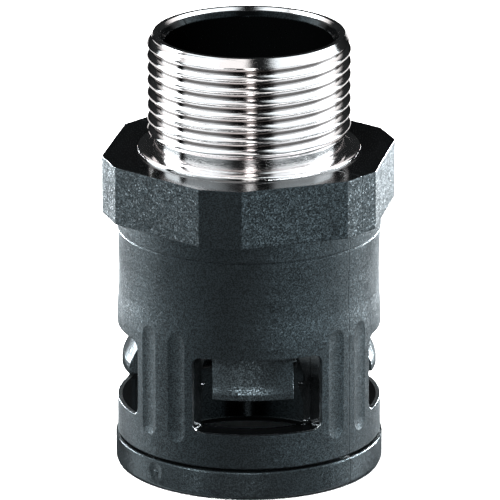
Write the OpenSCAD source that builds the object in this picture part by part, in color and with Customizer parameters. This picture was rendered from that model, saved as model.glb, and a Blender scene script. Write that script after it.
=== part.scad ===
// Straight quick-fit connector for corrugated conduit: a moulded body with a hexagon and a windowed skirt,
// a plated metal thread moulded into its top, a snap-in locking clip that slides out at the bottom, and a
// soft ring seal. The thread's axis is Z, the conduit enters from below, and the front window faces -Y.

/* [Thread] */
// Outer diameter of the male thread
thread_d = 22.5; // [21.8:0.1:23.2]
// Pitch of the male thread
thread_pitch = 1.411; // [1.2:0.001:1.5]
// Width of the thread's crest, where it keeps its full diameter
thread_crest = 0.32; // [0.1:0.02:0.5]
// Height of the threaded length, with its chamfers
thread_h = 11.3; // [9:0.1:14]
// Height of the plain neck between the flange and the thread
neck_h = 1.6; // [1:0.1:3]
// Diameter of the metal flange on top of the hexagon
flange_d = 24.7; // [24.2:0.1:26]
// How far the flange stands above the hexagon
flange_rise = 0.38; // [0.2:0.02:1]
// Wall between the bore of the metal and the plastic liner's bore
liner_wall = 0.5; // [0.35:0.05:0.55]
// Chamfer on the inner edge of the metal rim
rim_chamfer = 0.3; // [0.1:0.05:0.35]
// Height of the metal's anchor, which sits inside the hexagon
anchor_h = 5.65; // [4.5:0.05:6]

/* [Body] */
// Width across the hexagon's six flats
hex_af = 30.6; // [30:0.1:32]
// Width across the hexagon's cut corners
hex_cut_af = 32.6; // [32:0.1:34]
// Height of the hexagon
hex_h = 6.5; // [6.2:0.1:9]
// Outer diameter of the skirt
skirt_d = 29.3; // [29:0.1:30]
// Height of the skirt, from its lower edge to the hexagon
skirt_h = 26.05; // [25.7:0.05:29]
// How much the skirt's radius falls at its waist, above the windows
waist_depth = 0.2; // [0:0.05:0.4]
// Distance of the mould line below the hexagon
mould_line_drop = 2.3; // [1.5:0.1:2.8]
// Diameter of the clear passage through the thread
passage_d = 18.46; // [17.6:0.02:18.46]

/* [Windows] */
// Number of windows and snap hooks
window_count = 4; // [4]
// Angle that one window spans
window_angle = 58.4; // [54:0.2:60]
// Height of the window's sill above the ring's underside
sill_z = 7.45; // [7.2:0.05:8]
// Height of one window
window_h = 8.7; // [8.3:0.1:8.8]
// Radius of a window's corners
window_corner = 1.0; // [0.5:0.1:1.6]

/* [Flutes] */
// Width of one flute on the skirt
flute_w = 2.5; // [1.5:0.1:2.8]
// Depth of one flute
flute_depth = 0.18; // [0.1:0.02:0.5]
// Angle of a flute from the middle of its pillar
flute_offset = 7.9; // [7.4:0.1:8.6]
// Height of a flute's lower end above the ring's underside
flute_z = 5.9; // [5.4:0.1:7]
// Length of a flute
flute_h = 12.8; // [8:0.1:13.5]

/* [Conduit] */
// Outer diameter of the conduit that fits
conduit_d = 21.2; // [20.8:0.1:21.4]
// Play between the conduit and the clip's bore, on the radius
conduit_play = 0.2; // [0.1:0.05:0.25]
// Pitch of the conduit's corrugations
corrugation_pitch = 3.2; // [2.8:0.1:3.3]
// How far a gripping rib reaches into a corrugation
rib_reach = 1.0; // [0.6:0.1:1.3]

/* [Locking clip] */
// Height of the clip's bottom ring
ring_h = 3.25; // [2.6:0.05:3.3]
// Outer diameter of the clip's bottom ring
ring_d = 29.7; // [29:0.1:30.4]
// Gap between the ring and the body with the clip pushed home
ring_gap = 0.25; // [0.15:0.05:0.6]
// How far the clip's sleeve reaches above the windows
sleeve_over = 1.75; // [1.4:0.05:2.2]
// Wall of the clip's sleeve
sleeve_wall = 1.4; // [1.2:0.05:1.45]
// Play between the sleeve and the body's bore, on the radius
sleeve_play = 0.08; // [0.06:0.01:0.1]
// Turn of the clip within its play in the body
clip_turn = -2; // [-2:0.5:2]
// Width of one snap hook, between its parallel sides
hook_w = 8.9; // [7:0.1:9.4]
// How far a hook's tip stands out of the sleeve
hook_reach = 1.95; // [1.6:0.05:2.2]
// Height of the plain land at a hook's tip
hook_land = 1.1; // [0.8:0.1:1.4]
// Height of a hook's tip above the window's sill, which is the clip's stroke
hook_lift = 3.9; // [3.4:0.1:4.2]
// Thickness of a hook, measured on the radius
hook_wall = 1.4; // [1.1:0.1:1.5]

/* [Seal] */
// Height of the ring seal
seal_h = 5; // [4.4:0.1:5.2]
// How far the seal's lips press into the conduit, on the radius
seal_squeeze = 0.3; // [0.1:0.05:0.45]
// Distance from one lip of the seal to the next
lip_pitch = 2; // [1.6:0.1:2.1]
// Room for the conduit's end between the seal and the stop
end_room = 3.3; // [2.5:0.1:3.6]

/* [Hidden] */
$fn = 96;

// Small clearances and edges
clip_room = 0.3;
neck_undercut = 0.08;
seat_relief = 0.1;
skirt_edge = 0.12;
flange_h = 1.4;
flange_edge = 0.22;
anchor_foot = 0.9;
anchor_rise = 1;
thread_root = 0.14;
run_in = 0.6;

// Heights that follow from the driving dimensions
skirt_z = ring_h + ring_gap;
hex_z = skirt_z + skirt_h;
hex_top = hex_z + hex_h;
flange_top = hex_top + flange_rise;
thread_z = flange_top + neck_h;
top_z = thread_z + thread_h;
mould_line_z = hex_z - mould_line_drop;
window_top = sill_z + window_h;
hook_tip_z = sill_z + hook_lift;
sleeve_top = window_top + sleeve_over;
seal_z = sleeve_top + clip_room;
seal_top = seal_z + seal_h;
stop_z = seal_top + end_room;
anchor_z = hex_top - anchor_h;

// Radii that follow from the driving dimensions
thread_r = thread_d / 2;
thread_depth = 0.475 * thread_pitch;
crest_z = thread_z + 0.6 * thread_depth;
ring_grooves = floor((top_z - thread_depth - crest_z - thread_crest) / thread_pitch);
core_r = thread_r - thread_depth;
neck_r = core_r - neck_undercut;
seat_r = thread_r + 0.1;
passage_r = passage_d / 2;
insert_r = passage_r + liner_wall;
socket_r = conduit_d / 2 + conduit_play;
sleeve_r = socket_r + sleeve_wall;
bore_r = sleeve_r + sleeve_play;
skirt_r = skirt_d / 2;
ring_r = ring_d / 2;
hook_r = sleeve_r + hook_reach;
hook_angle = 2 * asin(hook_w / 2 / socket_r) + 4;
rib_r = socket_r - rib_reach;
pillar_angle = 360 / window_count;

// Keys in the bore that stop the clip turning, and the wider grooves for them in the sleeve
key_w = 2.4;
key_depth = 0.6;
groove_w = 3.5;
groove_depth = key_depth + 0.1;
key_z = skirt_z + 0.6;
key_h = sill_z + 6 - key_z;

// The clip's cut-outs are a little wider and taller than the windows that hide their edges
cutout_angle = window_angle + 5;
cutout_z = sill_z - 0.45;
cutout_top = window_top + 0.1;
cutout_corner = 1.6;

far = 2 * ring_r;
over = 1;

// Points along an arc of radius r about [cx, cy], from angle a0 to a1
function arc(cx, cy, r, a0, a1, n = 6) =
    [for (i = [0:n]) let (a = a0 + (a1 - a0) * i / n) [cx + r * cos(a), cy + r * sin(a)]];

// Turns what faces +X to face the given angle, counted from -Y towards +X
module facing(angle) {
    rotate([0, 0, angle - 90]) children();
}

// Repeats what faces +X at every window, or at every pillar when offset by half a step
module round_windows(offset_angle = 0) {
    for (i = [0:window_count - 1]) facing(offset_angle + i * pillar_angle) children();
}

// Corners of a rectangle of half width w between z0 and z1, with round corners
function round_rectangle(w, z0, z1, r) = concat(
    arc(w - r, z0 + r, r, -90, 0), arc(w - r, z1 - r, r, 0, 90),
    arc(r - w, z1 - r, r, 90, 180), arc(r - w, z0 + r, r, 180, 270));

// A cutter with radial sides, and round corners where it leaves a wall of radius wall_r
module window_cutter(angle, z0, z1, corner, wall_r) {
    side = far * tan(angle / 2);
    intersection() {
        translate([0, 0, z0 - over])
            linear_extrude(height = z1 - z0 + 2 * over)
                polygon([[0, 0], [far, -side], [far, side]]);
        rotate([90, 0, 90])
            linear_extrude(height = far)
                polygon(round_rectangle(wall_r * sin(angle / 2) - 0.02, z0, z1, corner));
    }
}

// Shallow groove with round ends, cut into the skirt along Z
module flute_cutter() {
    cut_r = (pow(flute_w / 2, 2) + pow(flute_depth, 2)) / (2 * flute_depth);
    end = flute_w / 2;
    translate([skirt_r - flute_depth + cut_r, 0, 0]) {
        translate([0, 0, flute_z + end]) cylinder(r = cut_r, h = flute_h - 2 * end);
        for (z = [flute_z + end, flute_z + flute_h - end]) translate([0, 0, z]) sphere(r = cut_r);
    }
}

// Six-sided prism of the given width across flats, with a flat facing the given angle
module six_sided(width, angle) {
    facing(angle + 30) translate([0, 0, hex_z]) cylinder(d = width / cos(30), h = hex_h, $fn = 6);
}

// The hexagon with its six cut corners, flats at 15 degrees from the windows
module hexagon() {
    intersection() {
        six_sided(hex_af, 15);
        six_sided(hex_cut_af, 45);
    }
}

// Outside of the skirt: a plain lower part, a slight waist and the fine mould line under the hexagon
module skirt() {
    waist_r = skirt_r - waist_depth;
    rotate_extrude()
        polygon([
            [0, skirt_z], [skirt_r - skirt_edge, skirt_z], [skirt_r, skirt_z + skirt_edge],
            [skirt_r, window_top + 1.2], [skirt_r - 0.3 * waist_depth, window_top + 2.6],
            [skirt_r - 0.85 * waist_depth, window_top + 4.2], [waist_r, window_top + 5.6],
            [waist_r, window_top + 7.6], [skirt_r - 0.5 * waist_depth, mould_line_z - 0.1],
            [skirt_r - 0.5 * waist_depth - 0.12, mould_line_z], [skirt_r - 0.1 * waist_depth, mould_line_z + 0.12],
            [skirt_r, hex_z], [skirt_r, hex_z + over], [0, hex_z + over]
        ]);
}

// Everything hollow inside the body: the clip's bore, the seal's seat, the conduit's stop and the passage
module body_hollow() {
    lip = liner_wall + 0.05;
    rotate_extrude()
        polygon([
            [0, skirt_z - over], [bore_r + 0.3, skirt_z - over], [bore_r + 0.3, skirt_z], [bore_r, skirt_z + 0.3],
            [bore_r, seal_top], [socket_r + 0.05, seal_top], [socket_r + 0.05, stop_z], [passage_r, stop_z],
            [passage_r, top_z - rim_chamfer - lip], [insert_r, top_z - rim_chamfer],
            [insert_r, top_z + over], [0, top_z + over]
        ]);
}

// Outline of the thread as plain rings, from the foot of its first crest to the end of its last one
function thread_outline() =
    let (flank = (thread_pitch - thread_crest - thread_root) / 2)
    concat(
        [[thread_r, crest_z]],
        [for (i = [0:ring_grooves - 1], p = [[0, thread_crest], [1, thread_crest + flank],
                                             [1, thread_pitch - flank], [0, thread_pitch]])
            [thread_r - p[0] * thread_depth, crest_z + i * thread_pitch + p[1]]],
        [[thread_r, top_z - thread_depth]]
    );

// The metal piece: anchor with a grooved waist and a twelve-sided collar, flange, neck and threaded length
module insert_metal() {
    anchor_r = core_r + anchor_rise;
    flange_z = flange_top - flange_h;
    collar_h = flange_z - anchor_z - 2 * anchor_foot - 2 * anchor_rise;
    difference() {
        union() {
            rotate_extrude()
                polygon(concat(
                    [[insert_r - 0.5, anchor_z], [anchor_r, anchor_z], [anchor_r, anchor_z + anchor_foot],
                     [core_r, anchor_z + anchor_foot + anchor_rise / 2], [core_r, flange_z], [flange_d / 2, flange_z],
                     [flange_d / 2, flange_top - flange_edge], [flange_d / 2 - flange_edge, flange_top],
                     [seat_r, flange_top], [seat_r, flange_top - seat_relief], [neck_r, flange_top - seat_relief],
                     [neck_r, crest_z - run_in]],
                    thread_outline(),
                    [[core_r, top_z], [insert_r - 0.5, top_z]]
                ));
            translate([0, 0, anchor_z + anchor_foot + anchor_rise])
                cylinder(r = anchor_r + anchor_rise / 2, h = collar_h, $fn = 12);
        }
        translate([0, 0, anchor_z - over]) cylinder(r = insert_r, h = top_z);
        translate([0, 0, top_z - rim_chamfer])
            cylinder(r1 = insert_r, r2 = insert_r + 2 * rim_chamfer, h = 2 * rim_chamfer);
    }
}

// Ribs in the body's bore, behind the pillars
module keys() {
    round_windows(pillar_angle / 2)
        translate([bore_r - key_depth, -key_w / 2, key_z]) cube([key_depth + 0.5, key_w, key_h]);
}

module body() {
    color("#26292b") union() {
        difference() {
            union() {
                skirt();
                hexagon();
                translate([0, 0, anchor_z - over]) cylinder(r = insert_r, h = top_z - rim_chamfer - anchor_z + over);
            }
            body_hollow();
            insert_metal();
            round_windows() window_cutter(window_angle, sill_z, window_top, window_corner, skirt_r);
            for (s = [-1, 1]) round_windows(pillar_angle / 2 + s * flute_offset) flute_cutter();
        }
        keys();
    }
}

module thread_insert() {
    color("#d9dade") insert_metal();
}

// The clip's bottom ring and sleeve as one turned form, with the gripping ribs inside
module clip_blank() {
    edge = 0.55;
    top_edge = 0.15;
    lead = 0.8;
    rib = [[socket_r, -1.2], [rib_r, 0.5], [rib_r, 0.9], [socket_r, 1.1]];
    rib_z = [cutout_z + 3.6, cutout_z + 3.6 + corrugation_pitch];
    rotate_extrude()
        polygon(concat(
            [[socket_r + lead, 0]],
            arc(ring_r - edge, edge, edge, -90, 0),
            arc(ring_r - top_edge, ring_h - top_edge, top_edge, 0, 90, 3),
            [[sleeve_r, ring_h], [sleeve_r, sleeve_top - 0.4], [sleeve_r - 0.4, sleeve_top],
             [socket_r + 0.3, sleeve_top], [socket_r, sleeve_top - 0.3]],
            [for (k = [1, 0], p = [3, 2, 1, 0]) [rib[p][0], rib_z[k] + rib[p][1]]],
            [[socket_r, lead]]
        ));
}

// One snap hook: a tongue that hangs from the sleeve's top, slopes out through the window and ends in a lug
module hook() {
    slope_z = hook_tip_z + hook_land;
    slope = hook_reach / (cutout_top - slope_z);
    root = 0.5;
    ease = 0.45;
    intersection() {
        rotate([0, 0, -hook_angle / 2])
            rotate_extrude(angle = hook_angle)
                polygon([
                    [sleeve_r - root * slope, cutout_top + root], [hook_r - 1.1 * ease * slope, slope_z + 1.1 * ease],
                    [hook_r - 0.4 * ease * slope, slope_z + 0.2 * ease], [hook_r, slope_z - ease], [hook_r, hook_tip_z],
                    [hook_r - hook_wall, hook_tip_z], [hook_r - hook_wall, slope_z - 0.35],
                    [socket_r + 0.05, cutout_top - 0.35], [socket_r + 0.05, cutout_top + root]
                ]);
        translate([0, -hook_w / 2, hook_tip_z - over]) cube([far, hook_w, window_h + 2 * over]);
    }
}

// Round mark that the moulding gate leaves on the ring, with its stub in the middle
module gate_mark() {
    dimple_r = 5;
    difference() {
        translate([ring_r + dimple_r - 0.12, 0, 0.6 * ring_h]) sphere(r = dimple_r);
        translate([ring_r - 0.6, 0, 0.55 * ring_h]) rotate([0, 90, 0]) cylinder(r = 0.3, h = 0.55);
    }
}

module locking_clip() {
    color("#232629") rotate([0, 0, clip_turn]) union() {
        difference() {
            clip_blank();
            round_windows() window_cutter(cutout_angle, cutout_z, cutout_top, cutout_corner, sleeve_r);
            round_windows(pillar_angle / 2)
                translate([sleeve_r - groove_depth, -groove_w / 2, ring_h]) cube([groove_depth + over, groove_w, far]);
            facing(-46) gate_mark();
        }
        round_windows() hook();
    }
}

// Ring seal with two lips that point inwards and up, pressed into the body's bore
module conduit_seal() {
    lip_r = conduit_d / 2 - seal_squeeze;
    root_r = socket_r + 0.35;
    lip = [[root_r, 0], [lip_r, 0.1], [lip_r, 0.3], [root_r, 0.7]];
    color("#3a3d40") rotate_extrude()
        polygon(concat(
            [[bore_r, seal_z], [bore_r, seal_top], [root_r, seal_top]],
            [for (k = [0, 1], p = lip) [p[0], seal_top - (k + 0.35 + p[1]) * lip_pitch]],
            [[root_r, seal_z]]
        ));
}

body();
thread_insert();
locking_clip();
conduit_seal();
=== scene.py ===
"""Looks of the conduit connector: moulded and plated materials, the cut thread, studio, lights and camera."""

import math

import bmesh
import bpy
import numpy as np
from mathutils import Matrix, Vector


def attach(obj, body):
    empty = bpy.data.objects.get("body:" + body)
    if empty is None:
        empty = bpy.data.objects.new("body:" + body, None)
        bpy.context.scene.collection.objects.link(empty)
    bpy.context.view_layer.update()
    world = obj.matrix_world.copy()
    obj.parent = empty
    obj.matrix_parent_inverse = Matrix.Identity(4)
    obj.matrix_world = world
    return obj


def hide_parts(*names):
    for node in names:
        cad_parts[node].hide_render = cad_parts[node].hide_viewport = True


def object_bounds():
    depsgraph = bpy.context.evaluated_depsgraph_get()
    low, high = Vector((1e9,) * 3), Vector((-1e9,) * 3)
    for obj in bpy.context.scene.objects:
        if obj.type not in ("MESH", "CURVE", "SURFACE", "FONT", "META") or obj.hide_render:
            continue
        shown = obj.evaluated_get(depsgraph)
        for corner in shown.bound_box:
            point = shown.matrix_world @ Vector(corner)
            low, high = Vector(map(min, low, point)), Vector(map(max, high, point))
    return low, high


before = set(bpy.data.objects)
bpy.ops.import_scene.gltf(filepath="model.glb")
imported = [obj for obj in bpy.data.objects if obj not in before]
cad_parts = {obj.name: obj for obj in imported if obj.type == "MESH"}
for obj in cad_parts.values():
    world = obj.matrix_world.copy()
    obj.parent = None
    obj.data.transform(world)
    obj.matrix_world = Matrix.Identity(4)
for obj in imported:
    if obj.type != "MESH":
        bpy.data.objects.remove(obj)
cad_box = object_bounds()
MM = 0.001

# Driving sizes of the metal piece in millimetres, as in the part's source
PITCH = 1.411
THREAD_R = 11.25
THREAD_H = 11.3
NECK_H = 1.6
FLANGE_R = 12.35
FLANGE_H = 1.4
FLANGE_RISE = 0.38
HEX_H = 6.5
ANCHOR_H = 5.65
INSERT_R = 9.73
RIM_CHAMFER = 0.3
SEAT_R = 11.35
SEAT_RELIEF = 0.1

# Places and radii that follow from them
THREAD_DEPTH = 0.475 * PITCH
CORE_R = THREAD_R - THREAD_DEPTH
NECK_R = CORE_R - 0.08
TOP_Z = round(cad_box[1][2] / MM, 2)
THREAD_Z = TOP_Z - THREAD_H
FLANGE_TOP = THREAD_Z - NECK_H
HEX_TOP = FLANGE_TOP - FLANGE_RISE
HEX_Z = HEX_TOP - HEX_H
ANCHOR_Z = HEX_TOP - ANCHOR_H

# The anchor's foot: how far it stands out from the core, and the heights of its straight and its whole
ANCHOR_WIDER = 1.0
ANCHOR_STRAIGHT = 0.9
ANCHOR_FOOT_H = 1.4
# The flange's rounded edge, as pairs of distance inwards and distance down
FLANGE_EDGE = [(0.0, 0.24), (0.03, 0.12), (0.1, 0.04), (0.22, 0.0)]
# The seat's inner edge slopes over this width, and the relief ends this far outside the neck
SEAT_SLOPE = 0.04
NECK_FILLET = 0.1

# The helix: height of its run-in, where that ends, the slope of the rim's chamfer, and the height of a crest at
# the front, less whole pitches
RUN_IN = 0.6
CREST_Z = THREAD_Z + 0.6 * THREAD_DEPTH
RIM_SLOPE = math.tan(math.radians(30))
PHASE = 0.58

# Grain of the plastic: cells, pits and clouds per millimetre, and how much coarser the hexagon's grain is
GRAIN_SCALE = 7.5
PIT_SCALE = 6.5
CLOUD_SCALE = 0.35
COARSER = 0.9
# Soft edges of the masks in millimetres
STEP = 0.01
RADIUS_STEP = 0.1
# Half widths of the mould seam's bottom and of its top in millimetres, and its depth in metres
SEAM = (0.03, 0.1)
SEAM_DEPTH = 0.00005
EDGE_ROUND = 0.00018
# Share of the sheen that is left on inner faces as painted shade, and the sheen's range over the pits
INNER_SHADED_SHEEN = 0.35
PIT_SHEEN = (0.4, 1.6)
SHEEN_COLOUR = (0.7, 0.9, 1.0)
BLACK_POLYAMIDE = (0.0025, 0.0029, 0.0031, 1.0)
# Radii inside which the two mouldings are smooth
BODY_INSIDE = 14.1
CLIP_INSIDE = 12.25

# Plating, and the painted shade that darkens the thread's roots but not under the rim
PLATE_DARK = (0.88, 0.84, 0.84, 1.0)
PLATE_LIGHT = (0.94, 0.90, 0.89, 1.0)
ROOT_SHADE_COLOUR = (0.12, 0.095, 0.085, 1.0)
ROOT_SHADE_AMOUNT = 0.88
ROOT_SHADE_R = (CORE_R + 0.05, CORE_R + 0.25)
ROOT_SHADE_FOOT = (THREAD_Z - 0.05, THREAD_Z + 0.1)
ROOT_SHADE_END = (TOP_Z - 1.3, TOP_Z - 1.15)

RUBBER_DARK = (0.035, 0.035, 0.038, 1.0)
RUBBER_LIGHT = (0.06, 0.06, 0.064, 1.0)

# Camera, fitted to the photograph's view
CAMERA_AZIMUTH = -3.9
CAMERA_ELEVATION = 18.04
CAMERA_DISTANCE = 0.753
CAMERA_SENSOR_MM = 36
CAMERA_LENS_MM = 6790 / 500 * CAMERA_SENSOR_MM
CAMERA_SHIFT = (0.96 / 500, -2.98 / 500)
MIDDLE = Vector((0, 0, 0.0245))


# Node helpers
def new_material(name):
    mat = bpy.data.materials.new(name)
    mat.use_nodes = True
    tree = mat.node_tree
    bsdf = tree.nodes["Principled BSDF"]
    return mat, tree, bsdf


def add(tree, kind, inputs=None, **settings):
    """A new node whose inputs are linked to sockets or set to values."""
    node = tree.nodes.new(kind)
    for key, value in settings.items():
        setattr(node, key, value)
    for key, value in (inputs or {}).items():
        if isinstance(value, bpy.types.NodeSocket):
            tree.links.new(value, node.inputs[key])
        else:
            node.inputs[key].default_value = value
    return node


def maths(tree, operation, a, b=0.0):
    return add(tree, "ShaderNodeMath", {0: a, 1: b}, operation=operation).outputs[0]


def vector_maths(tree, operation, a, b):
    """The second value is a number where the operation is SCALE, and a vector elsewhere."""
    second = 3 if operation == "SCALE" else 1
    output = "Value" if operation == "DOT_PRODUCT" else 0
    return add(tree, "ShaderNodeVectorMath", {0: a, second: b}, operation=operation).outputs[output]


def mix_colour(tree, factor, a, b):
    return add(tree, "ShaderNodeMix", {0: factor, 6: a, 7: b}, data_type="RGBA").outputs[2]


def ramp(tree, value, low, high, out_low=0.0, out_high=1.0):
    """Goes from one level to another between two values, and stays there outside them."""
    inputs = {"Value": value, "From Min": low, "From Max": high, "To Min": out_low, "To Max": out_high}
    node = add(tree, "ShaderNodeMapRange", inputs)
    node.clamp = True
    return node.outputs["Result"]


def noise(tree, vector, scale, detail, **more):
    inputs = {"Vector": vector, "Scale": scale, "Detail": detail, **more}
    return add(tree, "ShaderNodeTexNoise", inputs).outputs["Fac"]


def object_point(tree):
    """Object coordinates in millimetres, as a vector and its three parts."""
    coords = add(tree, "ShaderNodeTexCoord")
    scaled = vector_maths(tree, "SCALE", coords.outputs["Object"], 1 / MM)
    return scaled, add(tree, "ShaderNodeSeparateXYZ", {0: scaled}).outputs


def axis_distance(tree, x, y):
    """Distance from the thread's axis."""
    squares = maths(tree, "ADD", maths(tree, "MULTIPLY", x, x), maths(tree, "MULTIPLY", y, y))
    return maths(tree, "SQRT", squares)


# Moulded plastic with a spark-eroded grain of tiny facets, smooth inside a radius and above a height
def plastic(name, colour, grain, rough, gloss, smooth_within, smooth_above=None, coarse_above=None,
            smooth_rough=0.12):
    mat, tree, bsdf = new_material(name)
    point, (x, y, z) = object_point(tree)
    cloud = noise(tree, point, CLOUD_SCALE, 2.0)
    pits = noise(tree, point, PIT_SCALE, 1.0, Roughness=0.7)

    radius = axis_distance(tree, x, y)
    grained = ramp(tree, radius, smooth_within, smooth_within + RADIUS_STEP)
    if smooth_above is not None:
        below = ramp(tree, z, smooth_above - 3 * STEP, smooth_above - STEP, 1.0, 0.0)
        grained = maths(tree, "MULTIPLY", grained, below)
    amount = grain
    if coarse_above is not None:
        amount = ramp(tree, z, coarse_above - STEP, coarse_above + STEP, grain, (1 + COARSER) * grain)
    amount = maths(tree, "MULTIPLY", grained, amount)

    # Each cell of the grain tilts the surface its own way
    cells = add(tree, "ShaderNodeTexVoronoi", {"Vector": point, "Scale": GRAIN_SCALE})
    tilt = vector_maths(tree, "SUBTRACT", cells.outputs["Color"], (0.5, 0.5, 0.5))
    tilt = vector_maths(tree, "SCALE", tilt, amount)
    edge = add(tree, "ShaderNodeBevel", {"Radius": EDGE_ROUND}, samples=6).outputs[0]
    normal = vector_maths(tree, "ADD", edge, tilt)
    normal = add(tree, "ShaderNodeVectorMath", {0: normal}, operation="NORMALIZE").outputs[0]

    # The mould seam lies in a plane between two windows
    across = maths(tree, "ABSOLUTE", maths(tree, "MULTIPLY", maths(tree, "ADD", x, y), math.sqrt(0.5)))
    seam = {"Height": ramp(tree, across, *SEAM), "Strength": 1.0, "Distance": SEAM_DEPTH, "Normal": normal}
    tree.links.new(add(tree, "ShaderNodeBump", seam).outputs[0], bsdf.inputs["Normal"])

    roughness = ramp(tree, cloud, 0.3, 0.7, rough - 0.03, rough + 0.04)
    levels = {0: grained, 2: smooth_rough, 3: roughness}
    tree.links.new(add(tree, "ShaderNodeMix", levels, data_type="FLOAT").outputs[0], bsdf.inputs["Roughness"])
    lighter = [part * 1.3 for part in colour[:3]] + [1.0]
    tree.links.new(mix_colour(tree, cloud, colour, lighter), bsdf.inputs["Base Color"])

    shade_of_pit = ramp(tree, pits, 0.42, 0.58, *PIT_SHEEN)
    # Painted shade: inner faces keep only part of their sheen, so the insides look dark
    inner_shade = ramp(tree, radius, smooth_within, smooth_within + RADIUS_STEP, INNER_SHADED_SHEEN, 1.0)
    sheen = vector_maths(tree, "SCALE", SHEEN_COLOUR, maths(tree, "MULTIPLY", shade_of_pit, inner_shade))
    tree.links.new(sheen, bsdf.inputs["Specular Tint"])
    bsdf.inputs["Specular IOR Level"].default_value = gloss
    return mat


# Bright plating with faint turning marks and painted shade in the thread's roots
def metal(name):
    mat, tree, bsdf = new_material(name)
    point, (x, y, z) = object_point(tree)
    stretch = add(tree, "ShaderNodeMapping", {"Vector": point, "Scale": (0.5, 0.5, 9.0)}).outputs[0]
    marks = {"Height": noise(tree, stretch, 2.0, 3.0), "Strength": 0.3, "Distance": 0.00003}
    tree.links.new(add(tree, "ShaderNodeBump", marks).outputs[0], bsdf.inputs["Normal"])
    cloud = noise(tree, point, 0.8, 3.0)
    tree.links.new(ramp(tree, cloud, 0.3, 0.7, 0.05, 0.1), bsdf.inputs["Roughness"])
    plate = mix_colour(tree, cloud, PLATE_DARK, PLATE_LIGHT)
    # Painted shade: the base colour darkens in the thread's roots, fading out at the thread's foot and below
    # the rim
    deep = ramp(tree, axis_distance(tree, x, y), *ROOT_SHADE_R, 1.0, 0.0)
    root_shade = maths(tree, "MULTIPLY", deep, ramp(tree, z, *ROOT_SHADE_FOOT))
    root_shade = maths(tree, "MULTIPLY", root_shade, ramp(tree, z, *ROOT_SHADE_END, ROOT_SHADE_AMOUNT, 0.0))
    tree.links.new(mix_colour(tree, root_shade, plate, ROOT_SHADE_COLOUR), bsdf.inputs["Base Color"])
    bsdf.inputs["Metallic"].default_value = 1.0
    return mat


def rubber(name):
    mat, tree, bsdf = new_material(name)
    point, _ = object_point(tree)
    cloud = noise(tree, point, 2.5, 3.0)
    bump = add(tree, "ShaderNodeBump", {"Height": cloud, "Strength": 0.15, "Distance": 0.00005})
    tree.links.new(bump.outputs[0], bsdf.inputs["Normal"])
    tree.links.new(ramp(tree, cloud, 0.3, 0.7, 0.62, 0.75), bsdf.inputs["Roughness"])
    tree.links.new(mix_colour(tree, cloud, RUBBER_DARK, RUBBER_LIGHT), bsdf.inputs["Base Color"])
    return mat


def dress(node, mat):
    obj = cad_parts[node]
    obj.data.materials.clear()
    obj.data.materials.append(mat)


# The metal piece with its thread cut
def thread_profile(t):
    """Radius of the thread where t runs from 0 to 1 over one pitch: two flanks, round crest and root."""
    wave = np.abs(2.0 * (t % 1.0) - 1.0)
    return CORE_R + THREAD_DEPTH * (0.25 * wave + 0.75 * np.sin(0.5 * math.pi * wave))


def thread_surface(columns, per_pitch):
    """Rows of points that follow the helix, cut off level at the neck and at the rim's chamfer."""
    z0 = CREST_Z - RUN_IN
    z1 = TOP_Z
    rows = int((z1 - z0) / PITCH * per_pitch) + per_pitch + 2
    angle = np.arange(columns) / columns * 2 * math.pi
    lift = PITCH * angle / (2 * math.pi)
    z = z0 - PITCH + np.arange(rows)[:, None] * PITCH / per_pitch + lift[None, :]
    r = thread_profile((z - lift[None, :] - PHASE) / PITCH)
    z = np.clip(z, z0, z1)
    run_in = NECK_R + (z - z0) * (THREAD_R - NECK_R) / RUN_IN
    chamfer = CORE_R + (z1 - z) * RIM_SLOPE
    r = np.minimum(r, np.minimum(np.maximum(run_in, NECK_R), chamfer))
    return [[(r[i, j], angle[j], z[i, j]) for j in range(columns)] for i in range(rows)]


def turned_rows(points, columns):
    return [[(r, 2 * math.pi * j / columns, z) for j in range(columns)] for r, z in points]


def metal_piece(columns=288, per_pitch=16):
    """The turned foot, flange and neck, the helix, and the rim, as one closed ring of rows."""
    anchor_r = CORE_R + ANCHOR_WIDER
    flange_z = FLANGE_TOP - FLANGE_H
    relief_z = FLANGE_TOP - SEAT_RELIEF
    foot = [(INSERT_R, ANCHOR_Z), (anchor_r, ANCHOR_Z), (anchor_r, ANCHOR_Z + ANCHOR_STRAIGHT),
            (CORE_R, ANCHOR_Z + ANCHOR_FOOT_H), (CORE_R, flange_z), (FLANGE_R, flange_z)]
    edge = [(FLANGE_R - inwards, FLANGE_TOP - down) for inwards, down in FLANGE_EDGE]
    neck = [(SEAT_R, FLANGE_TOP), (SEAT_R - SEAT_SLOPE, relief_z), (NECK_R + NECK_FILLET, relief_z),
            (NECK_R, FLANGE_TOP), (NECK_R, CREST_Z - RUN_IN)]
    rim = [(CORE_R, TOP_Z), (INSERT_R + RIM_CHAMFER, TOP_Z), (INSERT_R, TOP_Z - RIM_CHAMFER)]
    below = foot + edge + neck
    rows = turned_rows(below, columns) + thread_surface(columns, per_pitch) + turned_rows(rim, columns)
    verts = [(r * MM * math.sin(a), -r * MM * math.cos(a), z * MM) for row in rows for r, a, z in row]
    count = len(rows)
    first = len(below)
    last = count - len(rim) - 1
    faces = []
    for i in range(count):
        k = (i + 1) % count
        for j in range(columns):
            n = (j + 1) % columns
            if n == 0 and first <= i < last:
                continue
            faces.append((i * columns + j, i * columns + n, k * columns + n, k * columns + j))
    # The helix climbs one pitch in a turn, so its last column joins the first column one pitch higher
    j = columns - 1
    for i in range(first, last):
        a, b = i * columns + j, (i + 1) * columns + j
        c = min(i + per_pitch, last) * columns
        d = min(i + 1 + per_pitch, last) * columns
        faces.append((a, c, d, b))
    mesh = bpy.data.meshes.new("thread_insert_cut")
    mesh.from_pydata(verts, [], faces)
    return mesh


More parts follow.
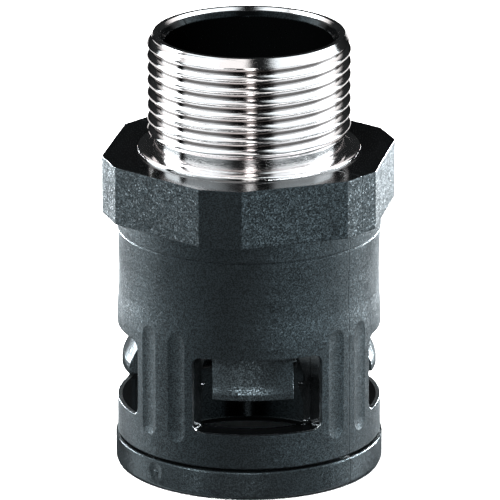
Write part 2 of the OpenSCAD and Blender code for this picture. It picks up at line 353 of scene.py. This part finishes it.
def clean(mesh):
    """Merges the points that the level cuts brought together, and turns all faces outwards."""
    bm = bmesh.new()
    bm.from_mesh(mesh)
    bmesh.ops.remove_doubles(bm, verts=bm.verts, dist=1e-7)
    bmesh.ops.dissolve_degenerate(bm, edges=bm.edges, dist=1e-8)
    bmesh.ops.recalc_face_normals(bm, faces=bm.faces)
    bm.to_mesh(mesh)
    bm.free()


def shade(obj, degrees):
    """Smooth shading that keeps sharp edges sharp."""
    obj.data.shade_smooth()
    obj.data.set_sharp_from_angle(angle=math.radians(degrees))


# Materials on the pieces
dress("body", plastic("body_polyamide", BLACK_POLYAMIDE, grain=0.2, rough=0.4, gloss=0.34,
                      smooth_within=BODY_INSIDE, smooth_above=HEX_TOP, coarse_above=HEX_Z))
dress("locking_clip", plastic("clip_polyamide", BLACK_POLYAMIDE, grain=0.16, rough=0.3, gloss=0.38,
                              smooth_within=CLIP_INSIDE))
dress("conduit_seal", rubber("seal_elastomer"))
piece = bpy.data.objects.new("thread_insert_cut", metal_piece())
bpy.context.collection.objects.link(piece)
clean(piece.data)
shade(piece, 40)
piece.data.materials.append(metal("nickel_plate"))
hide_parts("thread_insert")
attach(piece, "body")


# Studio: pale floor, soft boxes, and a pale surround
def area(name, place, target, size, power, colour=(1, 1, 1), shape="RECTANGLE"):
    data = bpy.data.lights.new(name, "AREA")
    data.shape = shape
    data.size, data.size_y = size
    data.energy = power
    data.color = colour
    obj = bpy.data.objects.new(name, data)
    bpy.context.collection.objects.link(obj)
    obj.location = place
    obj.rotation_euler = (Vector(target) - Vector(place)).to_track_quat("-Z", "Y").to_euler()
    return obj


def polar(angle, distance, height):
    """A place at an angle from the camera's side, towards the camera's right."""
    a = math.radians(angle + CAMERA_AZIMUTH)
    return (distance * math.sin(a), -distance * math.cos(a), height)


def light_only(lamp, *objs):
    """Lets a lamp light nothing but the given objects."""
    receivers = bpy.data.collections.new("lit_by_" + lamp.name)
    for obj in objs:
        receivers.objects.link(obj)
    lamp.light_linking.receiver_collection = receivers


# The floor rides with the clip, so that its ring stands on it at each pose
FLOOR_HALF = 3.0
FLOOR_GREY = 0.9
corners = [(x * FLOOR_HALF, y * FLOOR_HALF, 0) for x, y in ((-1, -1), (1, -1), (1, 1), (-1, 1))]
floor_mesh = bpy.data.meshes.new("studio_floor")
floor_mesh.from_pydata(corners, [], [(0, 1, 2, 3)])
floor = bpy.data.objects.new("studio_floor", floor_mesh)
bpy.context.collection.objects.link(floor)
floor_mat, _, floor_bsdf = new_material("studio_floor")
floor_bsdf.inputs["Base Color"].default_value = (FLOOR_GREY, FLOOR_GREY, FLOOR_GREY, 1)
floor_bsdf.inputs["Roughness"].default_value = 0.8
floor_bsdf.inputs["Specular IOR Level"].default_value = 0.0
floor_mesh.materials.append(floor_mat)
floor.visible_glossy = False
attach(floor, "locking_clip")

# Low panels around the part that brighten the edges of the moulded plastic: angle, height, width, power
PANELS = {
    "body": [(-148, 0.03, 0.2, 7.0), (148, 0.03, 0.2, 7.5), (-115, 0.03, 0.3, 2.2),
             (112, 0.03, 0.2, 2.4), (50, 0.03, 0.5, 1.3), (-70, 0.03, 0.2, 0.2)],
    "locking_clip": [(-128, 0.01, 0.1, 1.4), (124, 0.01, 0.16, 9.0), (-112, 0.01, 0.12, 1.0),
                     (92, 0.01, 0.2, 3.5), (10, 0.01, 0.3, 0.2)],
}
PANEL_DISTANCE = 0.4
PANEL_TALL = 0.06
PANEL_AIM = (0, 0, 0.02)
PANEL_COLOUR = (0.93, 1.0, 1.04)
for node, panels in PANELS.items():
    for angle, height, width, power in panels:
        place = polar(angle, PANEL_DISTANCE, height)
        lamp = area("panel_" + node, place, PANEL_AIM, (width, PANEL_TALL), power, PANEL_COLOUR)
        light_only(lamp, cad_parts[node])

# Small lamps for the snap hooks: the highlight on the bend, and the soft light on its left part
aim = tuple(MIDDLE)
HOOK_DISTANCE = 0.5
hook_lamps = [area("hook_glint", polar(0, HOOK_DISTANCE, 0.1), aim, (0.03, 0.04), 1.6),
              area("hook_side", polar(-48, HOOK_DISTANCE, 0.05), aim, (0.16, 0.12), 2.5)]
for lamp in hook_lamps:
    light_only(lamp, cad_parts["locking_clip"])

# The white table as the metal sees it from above, under the part and behind it
TABLE_Z = 0.0005
TABLE_BEHIND = 0.26
tables = [area("table_glow", (0, 0, TABLE_Z), (0, 0, 1), (0.16, 0.16), 0.08, shape="DISK"),
          area("table_glow_behind", (0, TABLE_BEHIND, TABLE_Z), (0, TABLE_BEHIND, 1), (0.9, 0.42), 1.1)]
for table in tables:
    table.visible_camera = False
    light_only(table, piece)

# The key lamp, and two lamps that wash the floor white
BOX_HEIGHT = 1.1
BOX_SIZE = (0.35, 0.35)
key = area("softbox_top", polar(-30, 0.7, BOX_HEIGHT), aim, BOX_SIZE, 14.0)
key.visible_glossy = False
for side in (-1, 1):
    wash = area("floor_wash", polar(side * 100, 0.5, BOX_HEIGHT), aim, BOX_SIZE, 34.0)
    light_only(wash, floor)

# Surround: bright reflectors at the sides and overhead, dark in front and behind
world = bpy.data.worlds.new("studio")
bpy.context.scene.world = world
world.use_nodes = True
world.cycles_visibility.diffuse = False
tree = world.node_tree
background = tree.nodes["Background"]
direction = add(tree, "ShaderNodeTexCoord").outputs["Generated"]
rise = add(tree, "ShaderNodeSeparateXYZ", {0: direction}).outputs["Z"]
front = math.radians(CAMERA_AZIMUTH)
ahead = vector_maths(tree, "DOT_PRODUCT", direction, (math.sin(front), -math.cos(front), 0))
aside = vector_maths(tree, "DOT_PRODUCT", direction, (math.cos(front), math.sin(front), 0))
turn = maths(tree, "ARCTAN2", aside, ahead)


def turned_from(degrees):
    """How far a direction is turned from an angle, to either side."""
    return maths(tree, "ABSOLUTE", maths(tree, "SUBTRACT", turn, math.radians(degrees)))


# Degrees from the camera's side towards its right, and brightness
REFLECTORS = [(-180, 0.003), (-126, 0.005), (-119, 0.9), (-95, 0.9), (-92, 0.0), (-85, 0.0), (-80, 0.3),
              (-45, 0.26), (-30, 0.14), (-19, 0.01), (-9, 0.002), (27, 0.003), (34, 0.22), (60, 0.28),
              (84, 0.3), (96, 0.7), (118, 0.7), (124, 0.005), (180, 0.003)]
RING_RISE = (0.0, 0.25)
RING_GAIN = (2.3, 5.0)
ring = add(tree, "ShaderNodeValToRGB", {0: ramp(tree, turn, -math.pi, math.pi)})
stops = ring.color_ramp.elements
for index, (degrees, level) in enumerate(REFLECTORS):
    place = (degrees + 180) / 360
    stop = stops[index] if index < 2 else stops.new(place)
    stop.position = place
    stop.color = (level * 0.9, level, level * 1.04, 1)
sides = vector_maths(tree, "SCALE", ring.outputs[0], ramp(tree, rise, *RING_RISE, *RING_GAIN))

# The reflector overhead, with a gap around the angle where the thread shows a dark column
DOME_RISE = (0.38, 0.5)
DOME_END = (0.84, 0.9)
DOME_LEVEL = 1.1
DOME_GAP_AT = 19
DOME_GAP = (0.3, 0.4)
dome = maths(tree, "MULTIPLY", ramp(tree, rise, *DOME_RISE, 0.0, DOME_LEVEL),
             ramp(tree, rise, *DOME_END, 1.0, 0.0))
dome = maths(tree, "MULTIPLY", dome, ramp(tree, turned_from(DOME_GAP_AT), *DOME_GAP))

# The narrow bright strip beside that column
SLIT_AT = 1.5
SLIT_HALF = (0.04, 0.07)
SLIT_END = (0.45, 0.6)
SLIT_RISE = (0.05, 0.2)
SLIT_LEVEL = (1.2, 5.0)
slit = maths(tree, "MULTIPLY", ramp(tree, turned_from(SLIT_AT), *SLIT_HALF, 1.0, 0.0),
             ramp(tree, rise, *SLIT_END, 1.0, 0.0))
slit = maths(tree, "MULTIPLY", slit, ramp(tree, rise, *SLIT_RISE, *SLIT_LEVEL))

# The backdrop itself is plain white
surround = vector_maths(tree, "MAXIMUM", sides, maths(tree, "MAXIMUM", dome, slit))
path = add(tree, "ShaderNodeLightPath")
shown = mix_colour(tree, path.outputs["Is Camera Ray"], surround, (1, 1, 1, 1))
tree.links.new(shown, background.inputs["Color"])
background.inputs["Strength"].default_value = 1.0

bpy.context.scene.view_settings.view_transform = "Standard"

camera_data = bpy.data.cameras.new("camera")
camera = bpy.data.objects.new("camera", camera_data)
bpy.context.collection.objects.link(camera)
bpy.context.scene.camera = camera
a, e = math.radians(CAMERA_AZIMUTH), math.radians(CAMERA_ELEVATION)
back = Vector((math.sin(a) * math.cos(e), -math.cos(a) * math.cos(e), math.sin(e)))
camera.location = MIDDLE + back * CAMERA_DISTANCE
camera.rotation_euler = (-back).to_track_quat("-Z", "Y").to_euler()
camera_data.lens = CAMERA_LENS_MM
camera_data.sensor_width = CAMERA_SENSOR_MM
camera_data.shift_x, camera_data.shift_y = CAMERA_SHIFT
camera_data.clip_start = 0.01
camera_data.clip_end = 20
